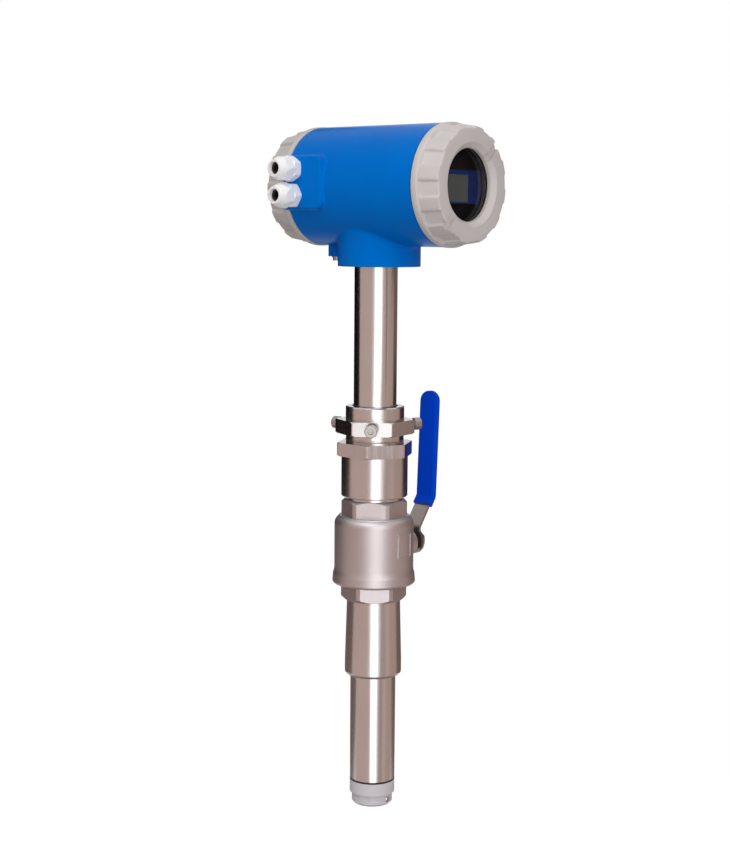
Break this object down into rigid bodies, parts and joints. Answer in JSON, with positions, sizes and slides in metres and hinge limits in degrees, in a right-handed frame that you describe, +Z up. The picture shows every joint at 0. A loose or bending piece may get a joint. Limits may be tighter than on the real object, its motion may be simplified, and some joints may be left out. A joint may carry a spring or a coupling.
{
  "type": "insertion electromagnetic flow meter",
  "caption": "Insertion electromagnetic flow meter: a sensor rod slides through a ball valve and stuffing box under a round converter housing with window and cable glands.",
  "frame": {"origin": "on the rod's axis, where the weld bevel of the base ends and its round wall begins", "axes": "+Z up along the rod; +X along the housing towards the window; +Y towards the valve's lever"},
  "size_m": [0.2228, 0.194, 0.7208],
  "materials": {
    "housing_paint": "smooth blue powder coat on cast aluminium, semi-gloss",
    "cover_paint": "pale warm grey powder coat on cast aluminium, satin",
    "window": "clear toughened glass",
    "seal_rubber": "matt black rubber",
    "polished_steel": "polished stainless tube with fine turned lines",
    "machined_steel": "fine-turned stainless steel",
    "cast_steel": "blasted cast stainless steel, satin",
    "lever_steel": "pressed stainless strip",
    "screw_steel": "bright stainless fasteners",
    "lever_vinyl": "dipped royal-blue vinyl, semi-gloss",
    "packing": "white fluoropolymer",
    "tip_plastic": "pale lavender-white fluoropolymer",
    "electrode_steel": "bright stainless pins",
    "core_iron": "soft iron",
    "coil_copper": "enamelled copper winding",
    "gland_nylon": "white nylon, satin",
    "bezel_black": "matt black plastic",
    "panel_blue": "dark blue moulded frame",
    "lcd_glass": "grey liquid-crystal glass, switched off",
    "board_green": "circuit board with green mask",
    "post_brass": "brass posts",
    "module_black": "potted black module",
    "terminal_green": "green terminal block"
  },
  "bodies": {
    "valve": {"weld_base": "machined_steel", "valve_end_cap": "cast_steel", "valve_body": "cast_steel", "body_gasket": "packing", "ball": "polished_steel", "seat_upper": "packing", "seat_lower": "packing", "stem_packing": "packing", "stem_gland_nut": "screw_steel", "gland_body": "machined_steel", "packing_rings": "packing", "packing_follower": "machined_steel", "packing_nut": "machined_steel", "clamp_screws": "screw_steel"},
    "handle": {"valve_stem": "screw_steel", "lever": "lever_steel", "lever_grip": "lever_vinyl", "lever_washer": "screw_steel", "lever_nut": "screw_steel"},
    "front_seal_ring": {"front_seal": "seal_rubber"},
    "front_cover": {"front_cover": "cover_paint", "window_glass": "window", "window_gasket": "seal_rubber", "glass_ring": "bezel_black"},
    "rear_seal_ring": {"rear_seal": "seal_rubber"},
    "rear_cover": {"rear_cover": "cover_paint"},
    "rod": {"insertion_rod": "polished_steel", "rod_coupling": "machined_steel", "neck_tube": "polished_steel", "tip_gasket": "seal_rubber", "sensor_tip": "tip_plastic", "electrodes": "electrode_steel", "coil_core": "core_iron", "excitation_coil": "coil_copper", "housing": "housing_paint", "earth_screw": "screw_steel", "display_bezel": "bezel_black", "display_panel": "panel_blue", "lcd": "lcd_glass", "display_board": "board_green", "main_board": "board_green", "board_posts": "post_brass", "power_module": "module_black", "terminal_block": "terminal_green", "terminal_screws": "screw_steel", "cable_fitting_upper": "gland_nylon", "dome_nut_upper": "gland_nylon", "cable_seal_upper": "seal_rubber", "cable_fitting_lower": "gland_nylon", "dome_nut_lower": "gland_nylon", "cable_seal_lower": "seal_rubber"}
  },
  "joints": [
    {"name": "rod_slide", "type": "slide", "parent": "valve", "child": "rod", "axis": [0, 0, 1], "range_m": [0, 0.316]},
    {"name": "handle_turn", "type": "hinge", "parent": "valve", "child": "handle", "pos_m": [0, 0.066, 0.1304], "axis": [0, -1, 0], "range_deg": [0, 90]},
    {"name": "front_cover_travel", "type": "slide", "parent": "rod", "child": "front_seal_ring", "axis": [1, 0, 0], "range_m": [0, 0.0125]},
    {"name": "front_cover_turn", "type": "hinge", "parent": "front_seal_ring", "child": "front_cover", "pos_m": [0, 0, 0.5123], "axis": [1, 0, 0], "range_deg": [0, 2250]},
    {"name": "rear_cover_travel", "type": "slide", "parent": "rod", "child": "rear_seal_ring", "axis": [-1, 0, 0], "range_m": [0, 0.0125]},
    {"name": "rear_cover_turn", "type": "hinge", "parent": "rear_seal_ring", "child": "rear_cover", "pos_m": [0, 0, 0.5123], "axis": [-1, 0, 0], "range_deg": [0, 2250]}
  ],
  "couplings": [
    {"joint": "front_cover_travel", "follows": "front_cover_turn", "m_per_rad": 0.00031831},
    {"joint": "rear_cover_travel", "follows": "rear_cover_turn", "m_per_rad": 0.00031831}
  ]
}
